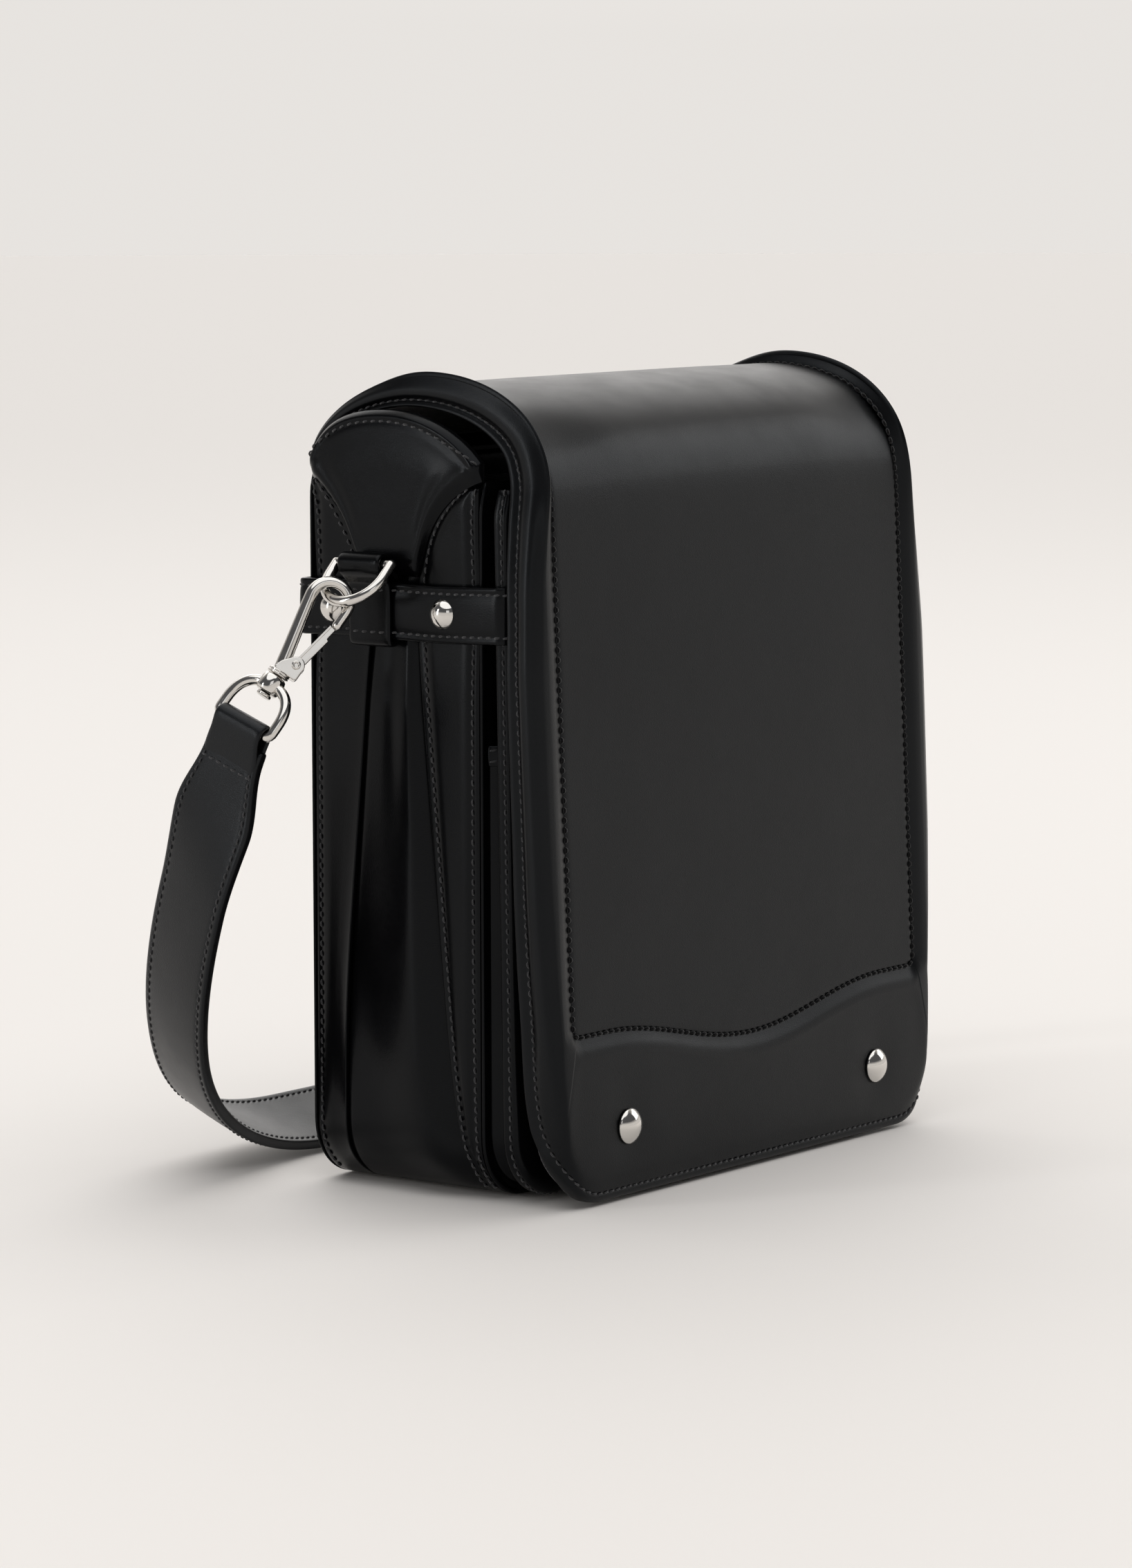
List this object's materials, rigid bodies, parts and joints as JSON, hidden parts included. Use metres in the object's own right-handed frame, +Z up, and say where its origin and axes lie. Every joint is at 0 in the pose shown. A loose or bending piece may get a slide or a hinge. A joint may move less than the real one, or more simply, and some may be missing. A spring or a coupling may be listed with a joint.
{
  "type": "shoulder bag",
  "caption": "Upright leather shoulder bag with a padded snap flap, boxed body, front pocket, riveted waist belt, D-rings and a strap on trigger hooks.",
  "frame": {"origin": "centre of the base on the floor, midway between the side walls", "axes": "+X along the width, -Y towards the flap's front, +Z up"},
  "size_m": [0.3324, 0.1805, 0.285],
  "materials": {
    "leather": "semi-gloss smooth grain",
    "lining": "matt",
    "padding": "matt",
    "board": "matt",
    "nickel": "polished"
  },
  "bodies": {
    "body": {"back_panel": "leather", "back_board": "board", "front_panel": "leather", "front_board": "board", "base_board": "board", "back_gusset": "leather", "centre_gusset": "leather", "front_gusset": "leather", "left_yoke": "leather", "right_yoke": "leather", "left_yoke_pad": "padding", "right_yoke_pad": "padding", "body_lining": "lining", "waist_belt": "leather", "belt_rivets": "nickel", "rivet_burrs": "nickel", "left_ring_tab": "leather", "right_ring_tab": "leather", "pocket_panel": "leather", "pocket_gusset": "leather", "pocket_hems": "leather", "snap_studs": "nickel", "stud_backs": "nickel", "flap_anchor": "leather"},
    "flap": {"flap_border": "leather", "flap_centre_panel": "leather", "flap_padding": "padding", "flap_lining": "lining", "snap_caps": "nickel", "snap_sockets": "nickel"},
    "left_ring": {"left_d_ring": "nickel"},
    "right_ring": {"right_d_ring": "nickel"},
    "strap": {"strap_outer": "leather", "strap_inner": "leather", "left_strap_ring": "nickel", "right_strap_ring": "nickel"},
    "left_hook_body": {"left_hook": "nickel", "left_gate_pin": "nickel", "left_gate_spring": "nickel", "left_swivel_post": "nickel"},
    "left_gate_body": {"left_gate": "nickel"},
    "right_hook_body": {"right_hook": "nickel", "right_gate_pin": "nickel", "right_gate_spring": "nickel", "right_swivel_post": "nickel"},
    "right_gate_body": {"right_gate": "nickel"}
  },
  "joints": [
    {"name": "flap_hinge", "type": "hinge", "parent": "body", "child": "flap", "pos_m": [0, 0.04, 0.2542], "axis": [-1, 0, 0], "range_deg": [0, 120]},
    {"name": "strap_swing", "type": "hinge", "parent": "body", "child": "strap", "pos_m": [0, 0.01197, 0.20771], "axis": [1, 0, 0], "range_deg": [0, 159]},
    {"name": "left_ring_hinge", "type": "hinge", "parent": "body", "child": "left_ring", "pos_m": [-0.122, 0.007, 0.219], "axis": [0, 1, 0], "range_deg": [0, 9]},
    {"name": "left_swivel", "type": "hinge", "parent": "strap", "child": "left_hook_body", "pos_m": [-0.13369, 0.01197, 0.20771], "axis": [-0.5373, 0.2954, -0.79], "range_deg": [0, 75]},
    {"name": "left_gate_hinge", "type": "hinge", "parent": "left_hook_body", "child": "left_gate_body", "pos_m": [-0.14625, 0.01734, 0.1851], "axis": [-0.7152, -0.6559, 0.2412], "range_deg": [0, 18], "stiffness_Nm_per_rad": 0.02, "springref_deg": -11.46},
    {"name": "right_ring_hinge", "type": "hinge", "parent": "body", "child": "right_ring", "pos_m": [0.122, 0.007, 0.219], "axis": [0, -1, 0], "range_deg": [0, 9]},
    {"name": "right_swivel", "type": "hinge", "parent": "strap", "child": "right_hook_body", "pos_m": [0.13369, 0.01197, 0.20771], "axis": [-0.5373, -0.2954, 0.79], "range_deg": [0, 75]},
    {"name": "right_gate_hinge", "type": "hinge", "parent": "right_hook_body", "child": "right_gate_body", "pos_m": [0.14625, 0.01734, 0.1851], "axis": [-0.7152, 0.6559, -0.2412], "range_deg": [0, 18], "stiffness_Nm_per_rad": 0.02, "springref_deg": -11.46}
  ],
  "couplings": [
    {"joint": "left_ring_hinge", "follows": "strap_swing", "ratio": 0.05},
    {"joint": "left_swivel", "follows": "strap_swing", "ratio": 0.45},
    {"joint": "right_ring_hinge", "follows": "strap_swing", "ratio": 0.05},
    {"joint": "right_swivel", "follows": "strap_swing", "ratio": 0.45}
  ]
}
